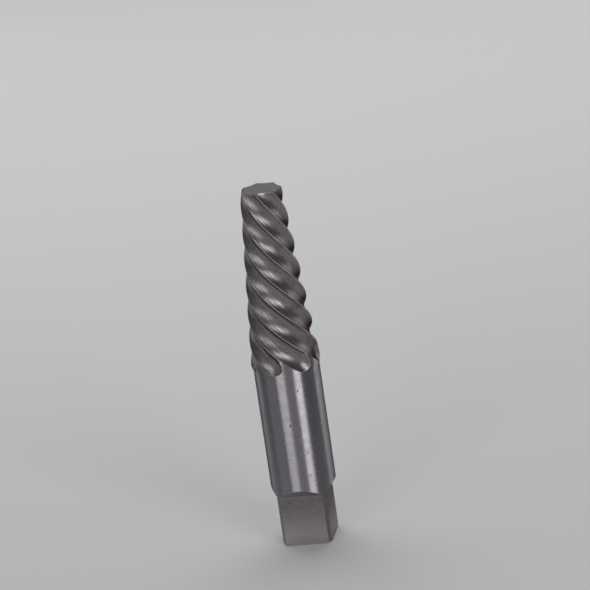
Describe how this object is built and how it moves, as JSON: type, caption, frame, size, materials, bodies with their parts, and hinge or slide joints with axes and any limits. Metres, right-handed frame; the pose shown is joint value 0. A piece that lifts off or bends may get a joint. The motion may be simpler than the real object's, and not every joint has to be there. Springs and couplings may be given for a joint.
{
  "type": "screw extractor",
  "caption": "Spiral-fluted taper screw extractor in tool steel: a left-hand fluted cone that bites into a drilled broken screw, a round ground shank and a square drive end.",
  "frame": {"origin": "centre of the square end's flat end face", "axes": "+Z along the tool's axis, from the square end to the fluted tip; +X and +Y square to the flats of the drive end"},
  "size_m": [0.0197, 0.02, 0.1064],
  "materials": {
    "tool_steel": "bright ground shank, matt milled square, duller fluted cone"
  },
  "bodies": {
    "root": {"screw_extractor": "tool_steel"}
  },
  "joints": []
}
